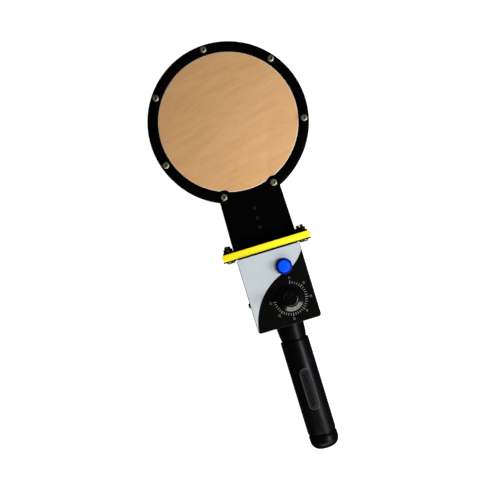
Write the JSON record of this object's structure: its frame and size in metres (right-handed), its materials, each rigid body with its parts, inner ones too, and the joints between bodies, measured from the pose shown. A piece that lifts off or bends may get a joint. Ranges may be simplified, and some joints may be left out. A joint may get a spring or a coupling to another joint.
{
  "type": "hand-held metal detector",
  "caption": "Hand-held metal detector with a round flat search head on a bolted neck, a control box with a turning knob and a push button, and a round grip.",
  "frame": {"origin": "on the plane that the detector lies on, under the middle of its length and width", "axes": "+Y from the grip to the search head, +Z out of the front panel, +X to the right seen from the front"},
  "size_m": [0.18, 0.467, 0.058],
  "materials": {
    "black_plastic": "satin",
    "plywood": "sealed",
    "yellow_plastic": "satin",
    "zinc_yellow": "yellow zinc plated",
    "steel": "bright",
    "black_steel": "satin",
    "brass": "plain",
    "copper": "enamelled winding wire",
    "foam": "open cell foam",
    "former_plastic": "moulded",
    "box_black": "fine texture",
    "overlay_light": "printed film",
    "overlay_dark": "printed film",
    "knob_black": "gloss",
    "pointer_white": "filled line",
    "rim_blue": "gloss",
    "cap_blue": "gloss",
    "rubber_black": "satin",
    "board_green": "solder mask",
    "chip_black": "moulded",
    "capacitor_sleeve": "sleeved",
    "ferrite": "ferrite",
    "trimmer_blue": "moulded",
    "header_white": "moulded",
    "battery_can": "lacquered",
    "lead_grey": "cable sheath",
    "wire_red": "insulation",
    "spring_steel": "drawn"
  },
  "bodies": {
    "detector": {"coil_tray": "black_plastic", "head_frame": "black_plastic", "face_disc": "plywood", "coil_former": "former_plastic", "transmit_coil": "copper", "receive_coil": "copper", "foam_pads": "foam", "ring_screws": "zinc_yellow", "thread_inserts": "brass", "neck_screws": "steel", "lead_clip": "former_plastic", "neck_flange": "black_plastic", "yellow_spacer": "yellow_plastic", "box_flange": "black_steel", "flange_screws": "steel", "flange_bolts": "black_steel", "flange_washers": "steel", "flange_nuts": "black_steel", "box_shell": "box_black", "front_cover": "box_black", "overlay_light": "overlay_light", "overlay_dark": "overlay_dark", "side_screw": "black_steel", "battery": "battery_can", "battery_snap": "chip_black", "battery_holder": "former_plastic", "battery_hatch": "box_black", "hatch_screws": "steel", "circuit_board": "board_green", "board_screws": "steel", "circuit_chips": "chip_black", "capacitors": "capacitor_sleeve", "coil_transformer": "ferrite", "tone_trimmer": "trimmer_blue", "sounder": "chip_black", "board_headers": "header_white", "coil_lead": "lead_grey", "lead_grommet": "rubber_black", "potentiometer_body": "steel", "potentiometer_nut": "steel", "button_rim": "rim_blue", "button_nut": "steel", "switch_body": "chip_black", "button_spring": "spring_steel", "solder_tags": "brass", "inner_wires": "wire_red", "handle_collar": "black_plastic", "grip_sleeve": "rubber_black", "grip_badge": "rubber_black", "end_cap": "black_plastic", "handle_tube": "steel", "handle_plug": "steel", "handle_washer": "steel", "handle_bolt": "steel"},
    "knob": {"knob": "knob_black", "knob_pointer": "pointer_white", "knob_grub_screw": "steel", "potentiometer_shaft": "brass"},
    "button": {"button_cap": "cap_blue", "button_stem": "header_white"}
  },
  "joints": [
    {"name": "knob_turn", "type": "hinge", "parent": "detector", "child": "knob", "pos_m": [0.0087, -0.0629, 0.042], "axis": [0, 0, -1], "range_deg": [-159, 100]},
    {"name": "button_push", "type": "slide", "parent": "detector", "child": "button", "axis": [0, 0, -1], "range_m": [0, 0.002], "stiffness_N_per_m": 800, "springref_m": -0.001, "deforming": ["button_spring"]}
  ]
}
